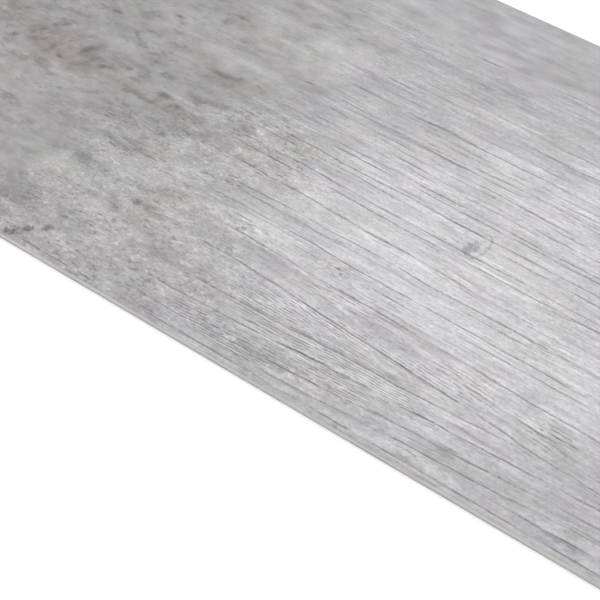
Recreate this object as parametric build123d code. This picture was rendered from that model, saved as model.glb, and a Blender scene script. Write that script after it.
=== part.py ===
"""Self-adhesive vinyl floor tile in plank form, lying flat with its printed face up.

One rolled and die-cut sheet of filled vinyl. Millimetres, +Z up, +X along the grain.
The origin is the centre of the sticky underside.
"""

import os

from build123d import *

# Driving dimensions of the plank, as sold: 36 x 6 inches and 2 mm thick.
LENGTH = 914.4
WIDTH = 152.4
THICKNESS = 2.0

# The die rounds the top arris over slightly, and leaves the lower one sharp.
TOP_ARRIS_RADIUS = 0.3


def vinyl_plank():
    """The whole sheet: a square-cut slab with all four top arrises eased."""
    slab = Box(LENGTH, WIDTH, THICKNESS, align=(Align.CENTER, Align.CENTER, Align.MIN))
    printed_face = slab.faces().sort_by(Axis.Z)[-1]
    return fillet(printed_face.edges(), radius=TOP_ARRIS_RADIUS)


os.makedirs("parts", exist_ok=True)
export_step(vinyl_plank(), "parts/vinyl_plank.step")
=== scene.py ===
"""Looks of the self-adhesive floor tile: a printed and embossed vinyl plank lying on a white floor.

Sizes and places are millimetres in the part's own frame: +X along the grain, +Y from the near long
edge to the far one, +Z up. MM turns them into Blender's metres.
"""

import math

import bpy
import numpy as np
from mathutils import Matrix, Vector


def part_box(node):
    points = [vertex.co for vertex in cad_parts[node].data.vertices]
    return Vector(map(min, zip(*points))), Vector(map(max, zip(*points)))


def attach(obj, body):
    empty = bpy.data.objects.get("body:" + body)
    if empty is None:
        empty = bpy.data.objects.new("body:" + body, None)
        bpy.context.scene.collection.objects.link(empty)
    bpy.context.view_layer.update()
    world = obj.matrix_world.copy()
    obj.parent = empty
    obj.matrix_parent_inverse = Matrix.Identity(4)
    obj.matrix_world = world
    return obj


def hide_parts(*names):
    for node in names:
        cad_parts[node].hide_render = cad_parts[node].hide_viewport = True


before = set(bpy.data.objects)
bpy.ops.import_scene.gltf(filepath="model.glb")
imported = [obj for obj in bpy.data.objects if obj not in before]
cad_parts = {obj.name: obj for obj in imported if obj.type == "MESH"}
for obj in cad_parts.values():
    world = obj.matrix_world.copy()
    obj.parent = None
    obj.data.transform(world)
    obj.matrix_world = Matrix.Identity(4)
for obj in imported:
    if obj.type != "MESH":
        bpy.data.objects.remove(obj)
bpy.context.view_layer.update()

MM = 0.001
SEED = 7
PLANK_NODE = "vinyl_plank"

# Order of the materials on the plank.
FACE_MATERIAL = 0
CORE_MATERIAL = 1
BACK_MATERIAL = 2

# Camera of the photograph: it looks down along the plank from its near right-hand side.
CAMERA_TARGET = (0.0, -49.6, 2.0)
CAMERA_AZIMUTH = 39.2
CAMERA_ELEVATION = 43.0
CAMERA_DISTANCE = 506.3
CAMERA_LENS = 131.9
SENSOR_WIDTH = 36.0
CLIP_START = 0.01

# Stretch of the plank that the photograph shows, and how softly the pattern passes on beyond it.
SHOWN_FROM = -145.0
SHOWN_TO = 112.0
SHOWN_BLEND = 25.0

# Beyond that stretch, the rims of the print zones run out along the grain in fingers.
FINGER_REACH = 70.0
FINGER_SPACING = 46.0
FINE_FINGERS = 0.45
FINE_FINGER_SPACING = 9.0

# Eased top arris, as on the solid.
TOP_ARRIS_RADIUS = 0.3
ARRIS_STEPS = 3

# Embossed grain: the mesh has a row every few millimetres, and its columns follow the grain lines.
ROWS = 310
FILL_COLUMNS = 2
GROOVE_DEPTH = 0.24
GROOVE_HALF_WIDTH = 0.38
GROOVE_PLACES = (-1.0, -0.45, 0.0, 0.45, 1.0)
GROOVE_SHARES = (0.0, 0.8, 1.0, 0.8, 0.0)
# Shares of a painted highlight on each groove's rims: full on the near rim, whose wall faces the lamp
# behind, weaker on the far rim.
GROOVE_HIGHLIGHT_SHARES = (0.6, 0.0, 0.0, 0.0, 1.0)
LEAST_SPACING = 1.1
LINE_FADE = 14.0

# Shallow hollows between the grain lines: their depth, their sizes and how they lean.
BROAD_RELIEF = 0.04
HOLLOW_LENGTH = 130.0
HOLLOW_LEAN = 3.0
HOLLOW_WIDTH = 11.0
HOLLOW_SLANT = 0.03
HOLLOW_REACH = 0.35

# Course of the grain lines: how far they wander over what length, and how their strength comes and goes.
WAVE_STRETCHES = (0.62, 1.0, 1.7)
DRIFT_REACH = 4.0
DRIFT_LENGTH = 420.0
WANDER_REACH = 0.32
WANDER_LENGTH = 52.0
QUIVER_REACH = 0.16
QUIVER_LENGTH = 16.0
PRESENCE_MIDDLE = 0.55
PRESENCE_REACH = 0.9
PRESENCE_LENGTH = 150.0
STRENGTH_MIDDLE = 0.76
STRENGTH_REACH = 0.45
STRENGTH_LENGTH = 24.0

# Grain returns between these shares of a smoky patch's half length.
GRAIN_RETURNS_FROM = 0.3
GRAIN_RETURNS_TO = 0.7

# Grain lines from the far edge to the near one: start x, start y, end x, end y, strength.
GRAIN_LINES = (
    (-38.4, 69.1, 20.2, 68.5, 0.2),
    (-42.4, 64.8, 20.2, 64.1, 0.35),
    (-30.3, 57.8, 30.3, 58.6, 0.6),
    (-30.3, 52, 40.4, 54.8, 0.8),
    (0, 47.9, 45.4, 49.3, 0.6),
    (-5, 44.5, 45.4, 44.9, 0.35),
    (-8.1, 38.3, 50.5, 37, 0.5),
    (-10.1, 35, 60.6, 33, 0.45),
    (-40.4, 30, 60.6, 29.5, 0.5),
    (-70.7, 27.1, 20.2, 24.7, 0.4),
    (-12.1, 23.5, 70.7, 22.7, 0.4),
    (-48.5, 22.2, 70.7, 20.9, 0.7),
    (-8.1, 19, 80.8, 17.6, 0.5),
    (-5, 17, 80.8, 15.8, 0.65),
    (-80.8, 15.8, 80.8, 14, 0.6),
    (-52.5, 13.8, 80.8, 11.6, 0.55),
    (-50.5, 10.9, 80.8, 8.5, 0.7),
    (-22.2, 8.7, 80.8, 6.7, 0.55),
    (-32.3, 6.2, 80.8, 4.2, 0.65),
    (-22.2, 4.4, 80.8, 2.7, 0.6),
    (-28, 1.4, 80.8, -0.4, 0.9),
    (-24.2, -0.3, 90.9, -2.2, 0.85),
    (-50.5, -3.8, 90.9, -6, 1),
    (-46.5, -6.2, 70.7, -8.2, 0.6),
    (-46.5, -11, 95.9, -13.7, 0.85),
    (-44.4, -13.7, 95.9, -15.9, 0.9),
    (-42.0, -19.4, 40.4, -22.4, 0.9),
    (10.1, -22.4, 95.9, -23.8, 0.4),
    (-30.3, -25.9, 101, -27.8, 1),
    (-30.0, -28.3, 70.7, -29.4, 0.55),
    (-30.0, -32.2, 106, -34.9, 0.95),
    (-26.0, -35.5, 106, -37, 0.6),
    (-28.0, -40.0, 111.1, -45, 0.95),
    (-24.0, -47.8, 113.1, -58.3, 1),
    (-20.2, -58.9, 62.6, -56.3, 0.85),
    (-22.2, -64.7, 113.1, -58.9, 0.85),
    (-20.2, -70.8, 113.1, -63, 0.85),
    (5, -73.1, 113.1, -66.8, 0.8),
    (74, -71.7, 113.1, -71.4, 0.7),
    (-60.6, -75.9, 113.1, -74.7, 0.8),
)

# Print of the plank and its painted ridge highlights. Ellipses are centre x and y, half length, half
# width, turn in degrees, strength.
SMOKY_PATCHES = (
    (-145, 0, 170, 150, 0, 1.0),
    (330, -30, 170, 80, 4, 0.7),
    (-430, 30, 130, 100, -6, 0.8),
)
PALE_PATCHES = (
    (-52, 28, 26, 20, 0, 0.6),
    (-50, -9, 24, 8, 0, 0.8),
    (-75, -51, 18, 14, 0, 0.65),
    (-51, 43, 16, 9, 0, 0.5),
    (-72, -27, 14, 12, 0, 0.45),
    (-18, -36, 36, 10, 0, 0.9),
    (30, -66, 46, 7, 2, 0.35),
    (40, -16, 118, 82, -4, 1.0),
    (215, 6, 190, 70, 3, 0.85),
    (440, 40, 120, 50, 0, 0.6),
    (-330, -20, 150, 70, 3, 0.75),
)
FLAKY_PATCHES = (
    (-46, -60, 70, 52, 0, 1.0),
    (-50, -16, 54, 42, 0, 0.85),
    (-70, -32, 46, 26, 0, 0.9),
    (10, -70, 60, 22, 0, 0.55),
    (6, 1, 26, 7, -2, 0.7),
    (-2, -35, 16, 6, -3, 0.7),
    (238, 10, 60, 66, 0, 0.6),
    (-320, -30, 56, 56, 0, 0.6),
)
SOFT_PATCHES = (
    (-10, 86, 190, 74, 0, 1.0),
)
COMBED_PATCHES = (
    (16, -58, 50, 17, 0, 1.0),
    (-6, -69, 30, 8, 0, 0.9),
    (14, -44, 40, 5, -4, 0.7),
    (44, -48, 24, 7, -3, 0.8),
    (69, -48, 15, 7, -6, 1.0),
    (94, -52, 14, 6, -4, 0.7),
    (42, -62, 20, 4, 3, 0.6),
    (70, -65, 18, 3, 3, 0.5),
    (48, -73, 20, 3, 0, 0.5),
    (54, -27, 14, 5, 0, 0.7),
    (24, -21, 30, 4, 0, 0.35),
    (150, -30, 46, 18, 0, 0.9),
    (-205, 30, 50, 20, 0, 0.9),
    (410, 20, 40, 22, 0, 0.9),
)
DARK_WASHES = (
    (-112, -13, 46, 15, -3, 0.9),
    (-130, -11, 14, 10, 0, 1.0),
    (-54, 3, 32, 11, 0, 1.0),
    (-78, 6, 18, 8, 0, 0.8),
    (-77, -15, 26, 7, 0, 0.8),
    (-56, -29, 22, 10, 0, 0.9),
    (-8, 42, 36, 10, 0, 0.8),
    (-34, -58, 28, 16, 0, 0.7),
    (64, -51, 36, 18, -6, 1.0),
    (22, -48, 36, 12, -2, 1.0),
    (50, -10, 18, 10, 0, 0.6),
    (-52, -42, 18, 13, 0, 0.7),
    (-24, -59, 11, 6, 0, 0.7),
    (-10, -70, 13, 5, 0, 0.65),
    (5, -69, 16, 5, 0, 0.65),
    (287.8, -20.9, 56, 22, 0, 0.9),
    (333.2, 29.5, 40, 14, 0, 0.5),
    (-368.6, 9.3, 54, 20, 0, 0.9),
    (-333.2, -41.1, 36, 15, 0, 0.5),
)
SAW_MARKS = (
    (-116.9, -6, 2.4, 5.0, -42, 0.8),
    (-121, -11, 5.0, 4.0, -30, 0.5),
    (-103.2, -9.5, 2.6, 8.0, -20, 0.6),
    (-103.9, -10, 2.0, 4.2, -20, 1.0),
    (-94, -12, 4.6, 3.4, -35, 0.5),
    (-96.3, -13.1, 2.4, 1.7, 15, 1.0),
    (-90, -9.4, 1.6, 2.8, -15, 0.5),
    (-81.3, -5, 1.5, 3.0, -20, 0.5),
    (-108, -16.9, 2.9, 1.2, 0, 0.9),
    (-123.8, -17.1, 2.2, 1.8, 0, 0.8),
    (-109.4, 7.5, 2.9, 1.4, 0, 0.8),
    (-70, -13.5, 3.6, 1.6, 0, 0.8),
    (-96.3, 6.5, 4.6, 1.1, 0, 0.6),
    (-98.5, 3.2, 3.2, 1.3, -38, 0.7),
    (-95, 16.3, 3.0, 1.2, 0, 0.8),
    (-83.8, 22.5, 3.4, 2.6, 20, 0.6),
    (-81.3, 26.3, 4.0, 1.3, 0, 0.7),
    (-69.4, 4, 9.0, 1.8, 0, 0.7),
    (-50, 15.6, 3.4, 1.2, 0, 0.6),
    (-75, -11.9, 4.6, 1.6, 0, 0.9),
    (-79, -16.3, 4.0, 1.4, 0, 0.8),
    (-84.4, -23.1, 3.0, 1.0, 0, 0.5),
    (-98, -26.6, 2.4, 1.4, 0, 0.5),
    (-56, -17.5, 6.0, 3.4, 0, 0.35),
    (-52.5, -47.8, 2.2, 1.8, 0, 0.9),
    (272, -18, 2.4, 8.5, -18, 0.9),
    (287, -24, 2.6, 7.0, -24, 0.8),
    (309, -12, 2.2, 7.5, -20, 0.7),
    (-355, 6, 2.4, 8.0, -20, 0.9),
    (-382, 14, 2.6, 6.5, -26, 0.8),
)
KNOT_MARKS = (
    (-68.6, -74, 3.4, 2.4, 40, 1.0),
    (-66.2, -71, 2.4, 1.4, 50, 0.9),
    (-62.6, -68.2, 2.3, 1.7, 20, 0.8),
    (20.0, -9.8, 2.7, 3.8, 0, 0.62),
    (212, 52, 3.6, 2.4, 15, 0.9),
    (-250, -39, 3.0, 2.2, -15, 0.9),
)
RING_MARKS = (
    (21.1, -8.6, 2.9, 5.6, 6, 1.0),
    (-272, 22, 5.0, 3.0, 10, 1.0),
)
RING_HOLES = (
    (20.8, -8.4, 2.4, 4.9, 6, 1.0),
    (-272, 22, 4.0, 2.2, 10, 1.0),
)
# Painted highlights: pale lines along the grain where embossed ridges would catch the light.
RIDGE_HIGHLIGHTS = (
    (-46, 1.2, 22, 0.55, -1, 1.0),
    (-70, -10.4, 13, 0.7, -1, 0.6),
    (-74, 17.2, 14, 0.6, -1, 0.5),
    (-62, 25.2, 18, 0.6, -1, 0.5),
    (12, -46.4, 9, 0.9, -12, 0.9),
    (-46, -74.6, 20, 0.5, 0, 0.7),
    (300, 12, 20, 0.6, 2, 0.8),
    (-345, -20, 16, 0.6, -2, 0.8),
)

# Spacing of the combed lines, and how far the saw strokes lean along the grain.
COMB_PITCH = 0.8
SAW_LEAN = 0.4

# Zones of the print: their ellipses and the inner share where each is full. Noise ruffles their edges.
ZONES = {
    "smoky": (SMOKY_PATCHES, 0.1),
    "pale": (PALE_PATCHES, 0.1),
    "washed": (DARK_WASHES, 0.0),
    "flaky": (FLAKY_PATCHES, 0.0),
    "soft": (SOFT_PATCHES, 0.0),
    "combed": (COMBED_PATCHES, 0.2),
}
ZONE_RUFFLE = 0.22

# Tone of the print in linear light, and what each zone multiplies it by.
BASE_TONE = 0.485
ZONE_SHARES = {
    "smoky": 0.76,
    "pale": 1.28,
    "washed": 0.84,
    "flaky": 0.94,
    "combed": 1.06,
    "soft": 0.93,
}

# What each kind of mark adds to the tone, as a share of it.
TONE_CHANGES = {
    "comb": -0.5,
    "dark_hair": -0.22,
    "pale_hair": 0.17,
    # Painted highlight beside the grooves.
    "pale_lip": 0.27,
    "speck": -0.16,
    "smear": -0.2,
    "stroke": -0.24,
    "groove": -0.4,
    "flake_rim": -0.16,
    "dash": -0.34,
    "lifted_flake": 0.19,
    "saw_mark": -0.5,
    "knot": -0.6,
    "ring": -0.22,
    # Painted highlight along embossed ridges.
    "scratch": 0.36,
}

# Tints of the print, the share of stray hues in it, and the other colours, all in linear light.
COOL_TINT = (1.0, 0.986, 1.016, 1.0)
WARM_TINT = (1.022, 0.99, 0.996, 1.0)
BROWN_TINT = (1.06, 0.98, 0.965, 1.0)
STRAY_HUE = 0.035
CORE_PALE = (0.68, 0.664, 0.652, 1.0)
CORE_GREY = (0.57, 0.557, 0.547, 1.0)
LINER_PALE = (0.78, 0.77, 0.74, 1.0)
LINER_SHADE = (0.70, 0.69, 0.66, 1.0)
FLOOR_COLOUR = (0.8, 0.8, 0.8, 1.0)
WHITE = (1.0, 1.0, 1.0, 1.0)

# Cut edge: depths of the film's lower rim below the face, heights of the shaded foot, and their shades.
FILM_FROM = 0.5
FILM_TO = 0.38
FILM_SHADE = 0.25
FOOT_FROM = 0.1
FOOT_TO = 0.9
FOOT_SHADE = 0.3

# Light: a broad lamp behind the plank, a weak one in front and an even white surround.
KEY_PLACE = (220.0, 620.0, 1450.0)
KEY_SIZE = 1100.0
KEY_POWER = 13.4
FILL_PLACE = (-100.0, -1500.0, 700.0)
FILL_SIZE = 1200.0
FILL_POWER = 9.0
SURROUND_LEVEL = 0.42
FLOOR_SIDE = 6000.0
FLOOR_GAP = 0.05
FLOOR_GLOW = 0.4
WHITE_FROM = 600.0
WHITE_TO = 1500.0


def smoothstep(edge_from, edge_to, value):
    """0 before edge_from, 1 after edge_to, and a smooth rise between them."""
    share = np.clip((value - edge_from) / (edge_to - edge_from), 0.0, 1.0)
    return share * share * (3.0 - 2.0 * share)


def waves(rng, x, wavelength):
    """A seeded smooth wave of about that wavelength, from about -1 to 1."""
    total = np.zeros_like(x)
    for stretch in WAVE_STRETCHES:
        phase = rng.uniform(0.0, 2.0 * math.pi)
        total += np.sin(2.0 * math.pi * x / (wavelength * stretch) + phase)
    return total / len(WAVE_STRETCHES)


def shown_share(x):
    """1 on the stretch that the photograph shows, 0 well beyond it."""
    rise = smoothstep(SHOWN_FROM - SHOWN_BLEND, SHOWN_FROM, x)
    fall = smoothstep(SHOWN_TO, SHOWN_TO + SHOWN_BLEND, x)
    return rise * (1.0 - fall)


def grain_share(x):
    """How much grain the plank has along its length: little where it is smoky."""
    share = np.ones_like(x)
    for centre, _, half_length, *_ in SMOKY_PATCHES:
        bare_to = GRAIN_RETURNS_FROM * half_length
        full_from = GRAIN_RETURNS_TO * half_length
        share *= smoothstep(bare_to, full_from, np.abs(x - centre))
    return share


def spaced_out(paths, half_width):
    """The paths kept in order, at least the least spacing apart and clear of both long edges."""
    order = LEAST_SPACING * np.arange(1, len(paths) + 1)[:, None]
    room = LEAST_SPACING * (len(paths) + 1)
    paths = np.minimum.accumulate(np.minimum(paths + order, half_width)) - order
    return np.maximum(paths, room - half_width - order)


def grain_paths(x, half_width):
    """Where each grain line runs across the plank, and how strong it is, at every row."""
    rng = np.random.default_rng(SEED)
    beyond = 1.0 - shown_share(x)
    drift = DRIFT_REACH * beyond * waves(rng, x, DRIFT_LENGTH)
    paths = []
    strengths = []
    for start_x, start_y, end_x, end_y, strength in GRAIN_LINES:
        along = np.clip((x - start_x) / (end_x - start_x), 0.0, 1.0)
        path = start_y + (end_y - start_y) * along
        path += drift * (1.0 - (path / half_width) ** 2)
        path += WANDER_REACH * waves(rng, x, WANDER_LENGTH) + QUIVER_REACH * waves(rng, x, QUIVER_LENGTH)
        here = smoothstep(start_x - LINE_FADE, start_x, x)
        here *= 1.0 - smoothstep(end_x, end_x + LINE_FADE, x)
        presence = PRESENCE_MIDDLE + PRESENCE_REACH * waves(rng, x, PRESENCE_LENGTH)
        there = grain_share(x) * np.clip(presence, 0.0, 1.0)
        broken = STRENGTH_MIDDLE + STRENGTH_REACH * waves(rng, x, STRENGTH_LENGTH)
        paths.append(path)
        strengths.append(strength * broken * np.maximum(here, beyond * there))
    return spaced_out(np.array(paths), half_width), np.clip(strengths, 0.0, 1.0)


def plank_columns(x, half_width):
    """The mesh columns, near edge first: their places across the plank, groove depths and painted
    highlights on the groove rims.
    """
    paths, strengths = grain_paths(x, half_width)
    none = np.zeros_like(x)
    columns = [(np.full_like(x, half_width), none, none)]
    edge = columns[0][0]

    def fill(next_edge):
        for step in range(1, FILL_COLUMNS + 1):
            columns.append((edge + (next_edge - edge) * step / (FILL_COLUMNS + 1), none, none))

    for path, strength in zip(paths, strengths):
        fill(path + GROOVE_HALF_WIDTH)
        # Each groove's columns get its depth and its painted highlight.
        for place, depth, groove_highlight in zip(GROOVE_PLACES, GROOVE_SHARES, GROOVE_HIGHLIGHT_SHARES):
            columns.append((path - place * GROOVE_HALF_WIDTH, depth * strength, groove_highlight * strength))
        edge = path - GROOVE_HALF_WIDTH
    near = np.full_like(x, -half_width)
    fill(near)
    columns.append((near, none, none))
    return [np.array(grid) for grid in zip(*columns[::-1])]


def broad_relief(x, across):
    """Shallow hollows between the grain lines, as shares from 0 to 1."""
    rng = np.random.default_rng(SEED + 1)
    field = waves(rng, x + HOLLOW_LEAN * across, HOLLOW_LENGTH)
    field = field + waves(rng, across + HOLLOW_SLANT * x, HOLLOW_WIDTH)
    return np.clip(0.5 + HOLLOW_REACH * field, 0.0, 1.0)


def ellipse_share(x, y, ellipses, inner):
    """The strongest of several ellipses at each point: full inside the inner share, gone at the rim."""
    strongest = np.zeros_like(x)
    for centre_x, centre_y, half_length, half_width, turn, strength in ellipses:
        cosine = math.cos(math.radians(turn))
        sine = math.sin(math.radians(turn))
        along = (cosine * (x - centre_x) + sine * (y - centre_y)) / half_length
        across = (cosine * (y - centre_y) - sine * (x - centre_x)) / half_width
        share = 1.0 - smoothstep(inner, 1.0, np.hypot(along, across))
        strongest = np.maximum(strongest, strength * share)
    return strongest


def grain_fingers(x, across):
    """How far the print zones are drawn out along the grain, beyond the photographed stretch."""
    rng = np.random.default_rng(SEED + 2)
    reach = waves(rng, across, FINGER_SPACING) + FINE_FINGERS * waves(rng, across, FINE_FINGER_SPACING)
    return (1.0 - shown_share(x)) * FINGER_REACH * reach


def boundary_loop(columns, rows):
    """Index pairs round the edge of the grid, counter-clockwise from above, with their outward steps."""
    loop = [(0, row, (-1 if row == 0 else 0), -1) for row in range(rows - 1)]
    loop += [(column, rows - 1, 1, (-1 if column == 0 else 0)) for column in range(columns - 1)]
    loop += [(columns - 1, row, (1 if row == rows - 1 else 0), 1) for row in range(rows - 1, 0, -1)]
    loop += [(column, 0, -1, (1 if column == columns - 1 else 0)) for column in range(columns - 1, 0, -1)]
    return loop


def vertex_number(column, row):
    """The number of a grid point among the mesh's vertices."""
    return column * ROWS + row


def top_faces(columns):
    """The quads of the printed face."""
    faces = []
    for column in range(columns - 1):
        for row in range(ROWS - 1):
            faces.append((vertex_number(column, row), vertex_number(column, row + 1),
                          vertex_number(column + 1, row + 1), vertex_number(column + 1, row)))
    return faces


def edge_rings(points, loop):
    """The rings of points below the face's rim: round the eased arris, then at the foot."""
    rim = np.array([points[column, row] for column, row, _, _ in loop])
    outward = np.array([(step_x, step_y, 0.0) for _, _, step_x, step_y in loop])
    rings = []
    for step in range(1, ARRIS_STEPS + 1):
        angle = 0.5 * math.pi * step / ARRIS_STEPS
        ring = rim + outward * TOP_ARRIS_RADIUS * math.sin(angle)
        ring[:, 2] -= TOP_ARRIS_RADIUS * (1.0 - math.cos(angle))
        rings.append(ring)
    foot = rings[-1].copy()
    foot[:, 2] = 0.0
    return rings + [foot]


def ring_numbers(columns, loop):
    """The vertex numbers of the face's rim and of each ring below it."""
    numbers = [[vertex_number(column, row) for column, row, _, _ in loop]]
    first = columns * ROWS
    for _ in range(ARRIS_STEPS + 1):
        numbers.append(list(range(first, first + len(loop))))
        first += len(loop)
    return numbers


def wall_faces(rings):
    """The quads between each ring and the next one down: the arris first, then the cut edge."""
    faces = []
    for upper, lower in zip(rings, rings[1:]):
        for here in range(len(upper)):
            after = (here + 1) % len(upper)
            faces.append((upper[here], lower[here], lower[after], upper[after]))
    return faces


def under_faces(columns, foot):
    """The underside: quads from the near edge to the far one, and one face at each end."""
    far_start = ROWS + columns - 2
    near = foot[:ROWS]
    far = foot[far_start:far_start + ROWS][::-1]
    right_end = foot[ROWS - 1:far_start + 1]
    left_end = foot[far_start + ROWS - 1:] + foot[:1]
    faces = [(far[1], near[1], *left_end[::-1])]
    for row in range(1, ROWS - 2):
        faces.append((near[row], far[row], far[row + 1], near[row + 1]))
    faces.append((near[-2], far[-2], *right_end[::-1]))
    return faces


def keep_attributes(mesh, grids, loop):
    """Each grid of values as an attribute of the mesh. The rings take the values of the rim above them."""
    for name, grid in grids.items():
        rim_values = np.array([grid[column, row] for column, row, _, _ in loop])
        values = np.concatenate([grid.reshape(-1), np.tile(rim_values, ARRIS_STEPS + 1)])
        attribute = mesh.attributes.new(name, "FLOAT", "POINT")
        attribute.data.foreach_set("value", values.astype(np.float32))


def plank_mesh(length, width, thickness):
    """The embossed plank as one closed mesh, with its grooves, grain and print zones as attributes."""
    x = np.linspace(-length / 2 + TOP_ARRIS_RADIUS, length / 2 - TOP_ARRIS_RADIUS, ROWS)
    places, grooves, groove_highlights = plank_columns(x, width / 2 - TOP_ARRIS_RADIUS)
    columns = len(places)
    across = np.repeat(places[:, np.argmin(np.abs(x))][:, None], ROWS, axis=1)
    along = np.repeat(x[None, :], columns, axis=0)
    depth = GROOVE_DEPTH * grooves + BROAD_RELIEF * broad_relief(along, across)
    points = np.stack([along, places, thickness - depth], axis=-1)

    loop = boundary_loop(columns, ROWS)
    rings = ring_numbers(columns, loop)
    top = top_faces(columns)
    walls = wall_faces(rings)
    under = under_faces(columns, rings[-1])
    vertices = np.concatenate([points.reshape(-1, 3), *edge_rings(points, loop)])
    mesh = bpy.data.meshes.new("embossed_plank")
    mesh.from_pydata((vertices * MM).tolist(), [], top + walls + under)

    materials = np.full(len(mesh.polygons), FACE_MATERIAL, dtype=np.int32)
    materials[len(top) + ARRIS_STEPS * len(loop):] = CORE_MATERIAL
    materials[len(top) + len(walls):] = BACK_MATERIAL
    mesh.polygons.foreach_set("material_index", materials)
    mesh.polygons.foreach_set("use_smooth", materials == FACE_MATERIAL)

    # One of these grids carries the painted highlight beside the grooves.
    grids = {"groove": grooves, "groove_highlight": groove_highlights, "across": across}
    drawn_out = along + grain_fingers(along, across)
    for name, (ellipses, inner) in ZONES.items():
        grids[name] = ellipse_share(drawn_out, places, ellipses, inner)
    keep_attributes(mesh, grids, loop)
    mesh.validate()
    mesh.update()
    return mesh


class Graph:
    """A material's node tree. Most methods add nodes and return the output socket of the last one."""

    def __init__(self, name):
        self.material = bpy.data.materials.new(name)
        self.material.use_nodes = True
        self.tree = self.material.node_tree
        self.shader = self.tree.nodes["Principled BSDF"]

    def feed(self, socket, value):
        """Links the socket to a node's output, or sets it to a constant."""
        if isinstance(value, bpy.types.NodeSocket):
            self.tree.links.new(value, socket)
        else:
            socket.default_value = value

    def math(self, operation, *values):
        node = self.tree.nodes.new("ShaderNodeMath")
        node.operation = operation
        for socket, value in zip(node.inputs, values):
            self.feed(socket, value)
        return node.outputs[0]

    def scaled(self, vector, factor):
        node = self.tree.nodes.new("ShaderNodeVectorMath")
        node.operation = "SCALE"
        self.feed(node.inputs[0], vector)
        self.feed(node.inputs["Scale"], factor)
        return node.outputs[0]

    def place(self):
        """The point on the object in millimetres."""
        node = self.tree.nodes.new("ShaderNodeTexCoord")
        return self.scaled(node.outputs["Object"], 1.0 / MM)

    def split(self, vector):
        node = self.tree.nodes.new("ShaderNodeSeparateXYZ")
        self.feed(node.inputs[0], vector)
        return node.outputs

    def joined(self, x, y):
        node = self.tree.nodes.new("ShaderNodeCombineXYZ")
        self.feed(node.inputs["X"], x)
        self.feed(node.inputs["Y"], y)
        return node.outputs[0]

    def attribute(self, name):
        node = self.tree.nodes.new("ShaderNodeAttribute")
        node.attribute_name = name
        return node.outputs["Fac"]

    def noise_node(self, vector, size, detail, shift):
        """Noise with features of one size in millimetres, or of one for each axis, moved by the shift."""
        sizes = size if isinstance(size, tuple) else (size, size, size)
        mapping = self.tree.nodes.new("ShaderNodeMapping")
        self.feed(mapping.inputs["Vector"], vector)
        mapping.inputs["Scale"].default_value = [1.0 / s for s in sizes]
        mapping.inputs["Location"].default_value = (shift, 1.7 * shift, 0.3 * shift)
        node = self.tree.nodes.new("ShaderNodeTexNoise")
        self.feed(node.inputs["Vector"], mapping.outputs[0])
        node.inputs["Scale"].default_value = 1.0
        node.inputs["Detail"].default_value = detail
        node.inputs["Roughness"].default_value = 0.55
        return node

    def noise(self, vector, size, detail, shift):
        return self.noise_node(vector, size, detail, shift).outputs["Fac"]

    def remap(self, value, from_min, from_max, to_min=0.0, to_max=1.0):
        """A smooth step of the value between two levels."""
        node = self.tree.nodes.new("ShaderNodeMapRange")
        node.interpolation_type = "SMOOTHSTEP"
        self.feed(node.inputs["Value"], value)
        for socket, level in zip(list(node.inputs)[1:5], (from_min, from_max, to_min, to_max)):
            self.feed(socket, level)
        return node.outputs["Result"]

    def swing(self, noise, reach, share):
        """A factor about 1 that follows the noise up and down by the reach, weighted by the share."""
        change = self.math("MULTIPLY", self.remap(noise, 0.3, 0.7, -reach, reach), share)
        return self.math("ADD", change, 1.0)

    def mix(self, share, first, second):
        """A colour between two others."""
        node = self.tree.nodes.new("ShaderNodeMix")
        node.data_type = "RGBA"
        self.feed(node.inputs["Factor"], share)
        self.feed(node.inputs[6], first)
        self.feed(node.inputs[7], second)
        return node.outputs[2]

    def ellipses(self, vector, ellipses, inner):
        """The strongest of several elliptical marks: full inside the inner share, gone at the rim."""
        strongest = None
        for x, y, half_length, half_width, turn, strength in ellipses:
            mapping = self.tree.nodes.new("ShaderNodeMapping")
            mapping.vector_type = "TEXTURE"
            self.feed(mapping.inputs["Vector"], vector)
            mapping.inputs["Location"].default_value = (x, y, 0.0)
            mapping.inputs["Rotation"].default_value = (0.0, 0.0, math.radians(turn))
            mapping.inputs["Scale"].default_value = (half_length, half_width, 1.0)
            distance = self.tree.nodes.new("ShaderNodeVectorMath")
            distance.operation = "LENGTH"
            self.feed(distance.inputs[0], mapping.outputs[0])
            mask = self.remap(distance.outputs["Value"], inner, 1.0, strength, 0.0)
            strongest = mask if strongest is None else self.math("MAXIMUM", strongest, mask)
        return strongest

    def bump(self, height, distance, strength):
        """Gives the shader a fine relief. A height of 1 stands the distance, in millimetres, above 0."""
        node = self.tree.nodes.new("ShaderNodeBump")
        self.feed(node.inputs["Height"], height)
        node.inputs["Distance"].default_value = distance * MM
        node.inputs["Strength"].default_value = strength
        self.feed(self.shader.inputs["Normal"], node.outputs[0])


def warped(graph, vector, size, reach, shift):
    """The vector pushed about by noise, for marks with ragged edges."""
    noise = graph.noise_node(vector, size, 3.0, shift).outputs["Color"]
    push = graph.tree.nodes.new("ShaderNodeVectorMath")
    push.operation = "MULTIPLY_ADD"
    graph.feed(push.inputs[0], noise)
    push.inputs[1].default_value = (reach, reach, 0.0)
    graph.feed(push.inputs[2], vector)
    centred = graph.tree.nodes.new("ShaderNodeVectorMath")
    centred.operation = "SUBTRACT"
    graph.feed(centred.inputs[0], push.outputs[0])
    centred.inputs[1].default_value = (0.5 * reach, 0.5 * reach, 0.0)
    return centred.outputs[0]


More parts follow.
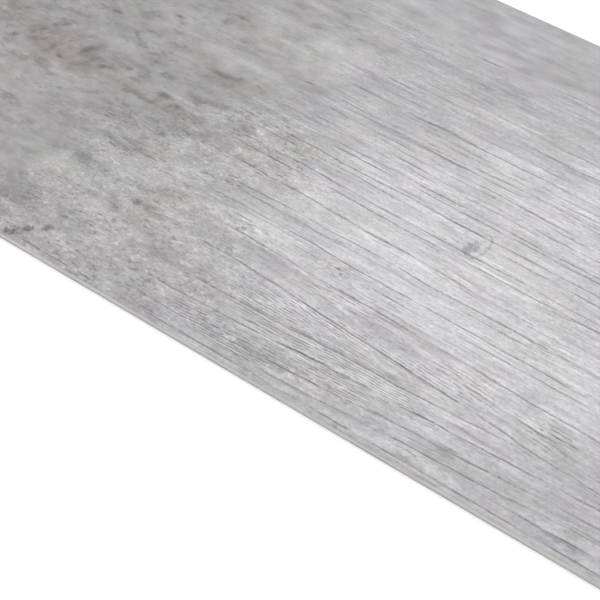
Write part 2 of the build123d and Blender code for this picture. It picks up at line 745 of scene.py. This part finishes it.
def print_zones(graph, flat):
    """Where the print is smoky, pale, washed dark, flaky, soft or combed, each from 0 to 1."""
    fingers = graph.noise(flat, (34.0, 8.0, 1.0), 4.0, 3.1)
    ruffle = graph.remap(fingers, 0.3, 0.7, -ZONE_RUFFLE, ZONE_RUFFLE)
    zones = {}
    for name in ZONES:
        level = graph.math("ADD", graph.attribute(name), ruffle)
        zones[name] = graph.remap(level, ZONE_RUFFLE, 1.0 - ZONE_RUFFLE)
    blotches = graph.remap(graph.noise(flat, (6.0, 9.0, 1.0), 3.0, 53.9), 0.34, 0.6, 0.5, 1.0)
    zones["washed"] = graph.math("MULTIPLY", zones["washed"], blotches)
    return zones


def print_marks(graph, flat):
    """Single marks with ragged edges, each kind from 0 to 1."""
    ragged = warped(graph, flat, 2.4, 1.5, 5.3)
    barely_ragged = warped(graph, flat, 4.0, 0.7, 6.7)
    spotty = graph.noise(flat, (1.5, 1.1, 1.0), 4.0, 21.7)
    patchy = graph.remap(spotty, 0.34, 0.56, 0.55, 1.0)
    pitted = graph.remap(spotty, 0.36, 0.54, 0.35, 1.0)
    rings = graph.ellipses(barely_ragged, RING_MARKS, 0.85)
    rims = graph.math("SUBTRACT", rings, graph.ellipses(barely_ragged, RING_HOLES, 0.8))
    return {
        "saw_mark": graph.math("MULTIPLY", graph.ellipses(ragged, SAW_MARKS, 0.1), patchy),
        "knot": graph.math("MULTIPLY", graph.ellipses(ragged, KNOT_MARKS, 0.4), pitted),
        "ring": graph.math("MULTIPLY", graph.math("MAXIMUM", rims, 0.0), patchy),
        # Painted highlights along embossed ridges.
        "scratch": graph.math("MULTIPLY", graph.ellipses(barely_ragged, RIDGE_HIGHLIGHTS, 0.3), patchy),
    }


def print_swings(graph, flat, grain, shares):
    """Noise that lightens and darkens the print: its reach and where it shows."""
    return (
        (graph.noise(flat, (20.0, 12.0, 1.0), 2.0, 59.3), 0.08, shares["mottled"]),
        (graph.noise(flat, (7.0, 4.6, 1.0), 3.0, 2.9), 0.11, shares["mottled"]),
        (graph.noise(flat, (2.6, 1.7, 1.0), 2.0, 11.9), 0.06, shares["mottled"]),
        (graph.noise(flat, (0.9, 0.6, 1.0), 1.0, 31.3), 0.115, shares["gritty"]),
        (graph.noise(grain, (140.0, 7.0, 1.0), 2.0, 4.7), 0.03, 1.0),
        (graph.noise(grain, (70.0, 1.8, 1.0), 1.0, 6.1), 0.045, shares["streaky"]),
        (graph.noise(grain, (9.0, 0.55, 1.0), 1.0, 39.1), 0.085, shares["grainy"]),
        (graph.noise(grain, (13.0, 2.8, 1.0), 3.0, 63.1), 0.12, shares["soft"]),
    )


def hairlines(graph, grain, size, shift, thickness):
    """Long thin lines that come and go, from 0 to 1."""
    level = graph.math("SUBTRACT", graph.noise(grain, size, 1.0, shift), 0.5)
    line = graph.remap(graph.math("ABSOLUTE", level), 0.0, thickness, 1.0, 0.0)
    shown = graph.remap(graph.noise(grain, (26.0, 4.0, 1.0), 2.0, shift + 2.7), 0.42, 0.58)
    return graph.math("MULTIPLY", line, shown)


def combing(graph, grain, zones):
    """Fine even lines along the grain in the combed patches, from 0 to 1."""
    _, side, _ = graph.split(grain)
    phase = graph.remap(graph.noise(grain, (70.0, 7.0, 1.0), 2.0, 8.3), 0.2, 0.8, -6.0, 6.0)
    turns = graph.math("ADD", graph.math("MULTIPLY", side, 2.0 * math.pi / COMB_PITCH), phase)
    lines = graph.remap(graph.math("SINE", turns), 0.1, 0.9)
    gaps = graph.remap(graph.noise(grain, (3.2, 0.7, 1.0), 2.0, 9.7), 0.38, 0.58, 0.1, 1.0)
    return graph.math("MULTIPLY", graph.math("MULTIPLY", lines, gaps), zones["combed"])


def flakes(graph, flat, zones, crisp):
    """Rims, dashes and lifted flakes of the worn patches, each kind from 0 to 1."""
    level = graph.math("SUBTRACT", graph.noise(flat, (5.5, 3.0, 1.0), 3.0, 41.3), 0.5)
    rims = graph.remap(graph.math("ABSOLUTE", level), 0.0, 0.03, 1.0, 0.0)
    dashes = graph.remap(graph.noise(flat, (2.6, 0.8, 1.0), 2.0, 33.7), 0.56, 0.62)
    patch = graph.remap(graph.noise(flat, (12.0, 7.0, 1.0), 2.0, 35.9), 0.46, 0.56)
    lifted = graph.remap(graph.noise(flat, (3.8, 1.8, 1.0), 3.0, 43.7), 0.57, 0.6)
    worn = graph.math("MULTIPLY", graph.remap(zones["flaky"], 0.0, 1.0, 0.35, 1.0), crisp)
    worn = graph.math("MAXIMUM", worn, graph.math("MULTIPLY", zones["smoky"], 0.42))
    return {
        "flake_rim": graph.math("MULTIPLY", rims, worn),
        "dash": graph.math("MULTIPLY", dashes, graph.math("MULTIPLY", worn, patch)),
        "lifted_flake": graph.math("MULTIPLY", lifted, worn),
    }


def print_lines(graph, flat, grain, zones, shares):
    """Fine lines and specks of the print, and the painted highlight beside the grooves, each kind from 0
    to 1.
    """
    specks = graph.remap(graph.noise(flat, (1.6, 0.6, 1.0), 2.0, 29.3), 0.6, 0.66)
    smears = graph.remap(graph.noise(flat, (5.0, 2.4, 1.0), 3.0, 45.1), 0.5, 0.6)
    smear_patch = graph.remap(graph.noise(flat, (24.0, 10.0, 1.0), 2.0, 47.9), 0.42, 0.56)
    smoky_smears = graph.math("MULTIPLY", graph.math("MULTIPLY", smears, smear_patch), zones["smoky"])
    along, side, _ = graph.split(flat)
    leaning = graph.joined(graph.math("MULTIPLY_ADD", side, -SAW_LEAN, along), side)
    strokes = graph.remap(graph.noise(leaning, (3.4, 12.0, 1.0), 2.0, 55.3), 0.5, 0.64)
    broken = graph.noise(grain, (11.0, 1.8, 1.0), 3.0, 13.1)
    breaks = graph.remap(broken, 0.34, 0.62, -0.22, 0.18)
    ragged_groove = graph.math("ADD", graph.attribute("groove"), breaks)
    crumbs = graph.remap(graph.noise(flat, (1.3, 0.7, 1.0), 2.0, 61.7), 0.36, 0.58, 0.6, 1.0)
    groove_ink = graph.math("MULTIPLY", graph.remap(ragged_groove, 0.0, 0.8), crumbs)
    # Painted highlight beside the grooves, where the lamp behind would catch the groove wall; noise breaks
    # it into gaps.
    groove_highlight_gaps = graph.remap(graph.noise(grain, (9.0, 2.0, 1.0), 2.0, 57.1), 0.38, 0.56)
    pale_lip = graph.math("MULTIPLY", graph.attribute("groove_highlight"), groove_highlight_gaps)
    dark_hair = hairlines(graph, grain, (60.0, 2.6, 1.0), 25.1, 0.038)
    pale_hair = hairlines(graph, grain, (60.0, 2.8, 1.0), 51.3, 0.038)
    return {
        "comb": graph.math("MULTIPLY", combing(graph, grain, zones), shares["crisp"]),
        "dark_hair": graph.math("MULTIPLY", dark_hair, shares["grainy"]),
        "pale_hair": graph.math("MULTIPLY", pale_hair, shares["grainy"]),
        "pale_lip": graph.math("MULTIPLY", pale_lip, shares["crisp"]),
        "speck": graph.math("MULTIPLY", specks, shares["crisp"]),
        "smear": smoky_smears,
        "stroke": graph.math("MULTIPLY", strokes, graph.math("MULTIPLY", zones["washed"], zones["smoky"])),
        "groove": graph.math("MULTIPLY", groove_ink, shares["crisp"]),
    }


def texture_shares(graph, zones):
    """How much each kind of texture shows, by the zones of the print."""
    settled = graph.math("MULTIPLY", zones["smoky"], graph.remap(zones["flaky"], 0.0, 1.0, 1.0, 0.4))
    crisp = graph.remap(graph.math("MAXIMUM", settled, zones["soft"]), 0.1, 0.9, 1.0, 0.2)
    hazy = graph.math("MAXIMUM", graph.math("MULTIPLY", zones["smoky"], 0.8),
                      graph.math("MULTIPLY", zones["soft"], 0.4))
    mottled = graph.math("MAXIMUM", zones["flaky"], hazy)
    return {
        "crisp": crisp,
        "mottled": graph.remap(mottled, 0.0, 1.0, 0.35, 1.0),
        "gritty": graph.math("MULTIPLY", crisp, graph.remap(zones["flaky"], 0.0, 0.8, 0.65, 1.0)),
        "grainy": graph.math("MULTIPLY", crisp, graph.remap(zones["flaky"], 0.0, 1.0, 1.0, 0.3)),
        "streaky": graph.remap(mottled, 0.0, 0.7, 1.2, 0.3),
        "soft": graph.math("MULTIPLY", zones["soft"], graph.remap(zones["smoky"], 0.2, 0.7, 1.0, 0.3)),
    }


def print_tone(graph, flat, grain, zones):
    """How light the print is, with its painted highlights: its zones, then noise, then lines and marks."""
    shares = texture_shares(graph, zones)
    clouds = graph.noise(flat, 34.0, 3.0, 1.3)
    tone = graph.remap(clouds, 0.25, 0.75, 0.95 * BASE_TONE, 1.05 * BASE_TONE)
    for name, share in ZONE_SHARES.items():
        tone = graph.math("MULTIPLY", tone, graph.remap(zones[name], 0.0, 1.0, 1.0, share))
    for noise, reach, share in print_swings(graph, flat, grain, shares):
        tone = graph.math("MULTIPLY", tone, graph.swing(noise, reach, share))
    marks = print_lines(graph, flat, grain, zones, shares)
    marks.update(flakes(graph, flat, zones, shares["crisp"]))
    marks.update(print_marks(graph, flat))
    for name, change in TONE_CHANGES.items():
        tone = graph.math("MULTIPLY", tone, graph.remap(marks[name], 0.0, 1.0, 1.0, 1.0 + change))
    return tone


def print_tint(graph, flat, zones):
    """The hue of the print: cool, but warm where it is worn or combed, and brown in the smoky washes."""
    blush = graph.remap(graph.noise(flat, 19.0, 2.0, 15.7), 0.5, 0.72, 0.0, 0.5)
    worn = graph.math("MAXIMUM", zones["smoky"], zones["flaky"])
    combed = graph.math("MULTIPLY", zones["combed"], 0.5)
    warmth = graph.math("MAXIMUM", graph.math("MAXIMUM", blush, worn), combed)
    hues = graph.noise_node(flat, (16.0, 8.0, 1.0), 1.0, 37.1).outputs["Color"]
    rusty = graph.math("MULTIPLY", zones["washed"], zones["smoky"])
    base_tint = graph.mix(rusty, graph.mix(warmth, COOL_TINT, WARM_TINT), BROWN_TINT)
    return graph.mix(STRAY_HUE, base_tint, graph.scaled(hues, 2.0))


def printed_face():
    """The printed film: pale whitewashed grain that passes into smoky, worn patches, with painted
    highlights along the grooves and ridges.
    """
    graph = Graph("printed_vinyl_face")
    along, side, _ = graph.split(graph.place())
    flat = graph.joined(along, side)
    jitter = graph.remap(graph.noise(flat, 2.6, 2.0, 0.7), 0.2, 0.8, -0.12, 0.12)
    grain = graph.joined(along, graph.math("ADD", graph.attribute("across"), jitter))
    zones = print_zones(graph, flat)
    tone = print_tone(graph, flat, grain, zones)
    tint = print_tint(graph, flat, zones)
    graph.feed(graph.shader.inputs["Base Color"], graph.scaled(tint, tone))
    sheen = graph.noise(flat, (6.0, 4.6, 1.0), 3.0, 2.9)
    graph.feed(graph.shader.inputs["Roughness"], graph.remap(sheen, 0.3, 0.7, 0.5, 0.64))
    graph.shader.inputs["Specular IOR Level"].default_value = 0.4
    pores = graph.noise(grain, (1.6, 0.3, 1.0), 2.0, 17.3)
    ripples = graph.noise(grain, (70.0, 1.8, 1.0), 1.0, 6.1)
    graph.bump(graph.math("ADD", pores, ripples), 0.05, 0.5)
    return graph.material


def cut_edge(thickness):
    """The die-cut edge: the pale filled core, darker in the film above it and towards the foot."""
    graph = Graph("cut_vinyl_core")
    point = graph.place()
    height = graph.split(point)[2]
    drag = graph.noise(point, (9.0, 9.0, 0.35), 3.0, 2.3)
    filler = graph.noise(point, 0.5, 2.0, 5.9)
    body = graph.mix(graph.remap(drag, 0.35, 0.65), CORE_GREY, CORE_PALE)
    film = graph.remap(height, thickness - FILM_FROM, thickness - FILM_TO, 0.0, FILM_SHADE)
    foot = graph.remap(height, FOOT_FROM, FOOT_TO, FOOT_SHADE, 0.0)
    shade = graph.math("MULTIPLY", graph.math("SUBTRACT", 1.0, film), graph.math("SUBTRACT", 1.0, foot))
    shade = graph.math("MULTIPLY", shade, graph.remap(filler, 0.3, 0.7, 0.95, 1.03))
    graph.feed(graph.shader.inputs["Base Color"], graph.scaled(body, shade))
    graph.feed(graph.shader.inputs["Roughness"], graph.remap(filler, 0.3, 0.7, 0.55, 0.7))
    graph.bump(drag, 0.05, 0.4)
    return graph.material


def paper_back():
    """The underside: plain release paper, with its fibres and faint clouds."""
    graph = Graph("release_paper_back")
    point = graph.place()
    fibres = graph.noise(point, (3.2, 0.8, 1.0), 4.0, 1.9)
    cloud = graph.noise(point, 16.0, 3.0, 4.1)
    share = graph.math("MULTIPLY", fibres, graph.remap(cloud, 0.3, 0.7, 0.8, 1.2))
    colour = graph.mix(graph.remap(share, 0.32, 0.68), LINER_SHADE, LINER_PALE)
    graph.feed(graph.shader.inputs["Base Color"], colour)
    graph.feed(graph.shader.inputs["Roughness"], graph.remap(fibres, 0.3, 0.7, 0.5, 0.62))
    graph.bump(fibres, 0.04, 0.4)
    return graph.material


def build_plank():
    """The dressed plank, in place of the CAD solid."""
    low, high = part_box(PLANK_NODE)
    length, width, thickness = ((high[axis] - low[axis]) / MM for axis in range(3))
    mesh = plank_mesh(length, width, thickness)
    for material in (printed_face(), cut_edge(thickness), paper_back()):
        mesh.materials.append(material)
    plank = bpy.data.objects.new("embossed_plank", mesh)
    bpy.context.scene.collection.objects.link(plank)
    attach(plank, "root")
    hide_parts(PLANK_NODE)


def seen_directly(tree):
    """1 for rays from the camera, from gloss or through glass, and 0 for rays that light the scene."""
    rays = tree.nodes.new("ShaderNodeLightPath")
    total = rays.outputs["Is Camera Ray"]
    for name in ("Is Glossy Ray", "Is Transmission Ray"):
        node = tree.nodes.new("ShaderNodeMath")
        node.operation = "MAXIMUM"
        tree.links.new(total, node.inputs[0])
        tree.links.new(rays.outputs[name], node.inputs[1])
        total = node.outputs[0]
    return total


def build_floor():
    """A white floor that keeps the plank's shadow and passes into the white surround far from it."""
    half = 0.5 * FLOOR_SIDE * MM
    mesh = bpy.data.meshes.new("floor")
    corners = [(-half, -half), (half, -half), (half, half), (-half, half)]
    mesh.from_pydata([(x, y, -FLOOR_GAP * MM) for x, y in corners], [], [(0, 1, 2, 3)])
    graph = Graph("white_floor")
    graph.shader.inputs["Base Color"].default_value = FLOOR_COLOUR
    graph.shader.inputs["Roughness"].default_value = 1.0
    graph.shader.inputs["Specular IOR Level"].default_value = 0.0
    graph.shader.inputs["Emission Color"].default_value = WHITE
    distance = graph.tree.nodes.new("ShaderNodeVectorMath")
    distance.operation = "LENGTH"
    graph.feed(distance.inputs[0], graph.place())
    level = graph.remap(distance.outputs["Value"], WHITE_FROM, WHITE_TO, FLOOR_GLOW, 1.0)
    glow = graph.math("MULTIPLY", seen_directly(graph.tree), level)
    graph.feed(graph.shader.inputs["Emission Strength"], glow)
    mesh.materials.append(graph.material)
    floor = bpy.data.objects.new("floor", mesh)
    bpy.context.scene.collection.objects.link(floor)


def aim(thing, place, target):
    """Puts a lamp or the camera at a place, looking at the target."""
    thing.location = Vector(place) * MM
    sight = Vector(target) * MM - thing.location
    thing.rotation_euler = sight.to_track_quat("-Z", "Y").to_euler()


def build_lamp(name, place, size, power):
    """A square soft lamp that faces the plank."""
    data = bpy.data.lights.new(name, "AREA")
    data.size = size * MM
    data.energy = power
    lamp = bpy.data.objects.new(name, data)
    bpy.context.scene.collection.objects.link(lamp)
    aim(lamp, place, CAMERA_TARGET)


def build_surround():
    """An even white surround that lights softly and is seen as white."""
    world = bpy.data.worlds.new("white_surround")
    world.use_nodes = True
    tree = world.node_tree
    background = tree.nodes["Background"]
    background.inputs["Color"].default_value = WHITE
    level = tree.nodes.new("ShaderNodeMapRange")
    tree.links.new(seen_directly(tree), level.inputs["Value"])
    level.inputs["To Min"].default_value = SURROUND_LEVEL
    level.inputs["To Max"].default_value = 1.0
    tree.links.new(level.outputs["Result"], background.inputs["Strength"])
    bpy.context.scene.world = world


def build_camera():
    """The photograph's view of the plank."""
    azimuth = math.radians(CAMERA_AZIMUTH)
    elevation = math.radians(CAMERA_ELEVATION)
    back = Vector((math.sin(azimuth), -math.cos(azimuth), 0.0)) * math.cos(elevation)
    back.z = math.sin(elevation)
    data = bpy.data.cameras.new("camera")
    data.sensor_width = SENSOR_WIDTH
    data.lens = CAMERA_LENS
    data.clip_start = CLIP_START
    camera = bpy.data.objects.new("camera", data)
    bpy.context.scene.collection.objects.link(camera)
    aim(camera, Vector(CAMERA_TARGET) + back * CAMERA_DISTANCE, CAMERA_TARGET)
    bpy.context.scene.camera = camera


build_camera()
build_floor()
build_surround()
build_lamp("key_lamp", KEY_PLACE, KEY_SIZE, KEY_POWER)
build_lamp("fill_lamp", FILL_PLACE, FILL_SIZE, FILL_POWER)
build_plank()
bpy.context.scene.view_settings.view_transform = "Standard"
